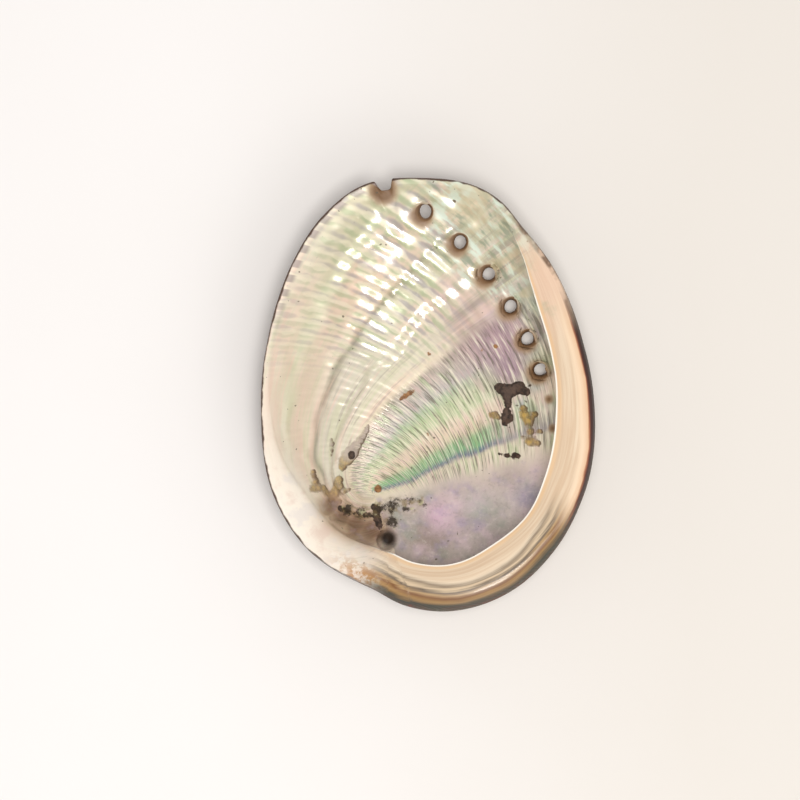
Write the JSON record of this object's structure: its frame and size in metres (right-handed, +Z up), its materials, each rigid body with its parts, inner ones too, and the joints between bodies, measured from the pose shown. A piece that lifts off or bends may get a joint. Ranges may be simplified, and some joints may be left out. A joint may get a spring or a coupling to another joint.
{
  "type": "abalone shell",
  "caption": "Abalone shell lying mouth up: an oval pearly bowl with a broad shelf along one side, a curving row of breathing pores and a low coiled spire.",
  "frame": {"origin": "in the worn flat on the crown of the back, on which the shell rests with its mouth up", "axes": "+X towards the side with the columella shelf, +Y towards the front end with the notch in the lip, +Z up out of the mouth"},
  "size_m": [0.1155, 0.1503, 0.0384],
  "materials": {
    "shell": "pearly, iridescent mother of pearl inside, cream satin shelf, dull brown crust outside"
  },
  "bodies": {
    "root": {"shell": "shell"}
  },
  "joints": []
}
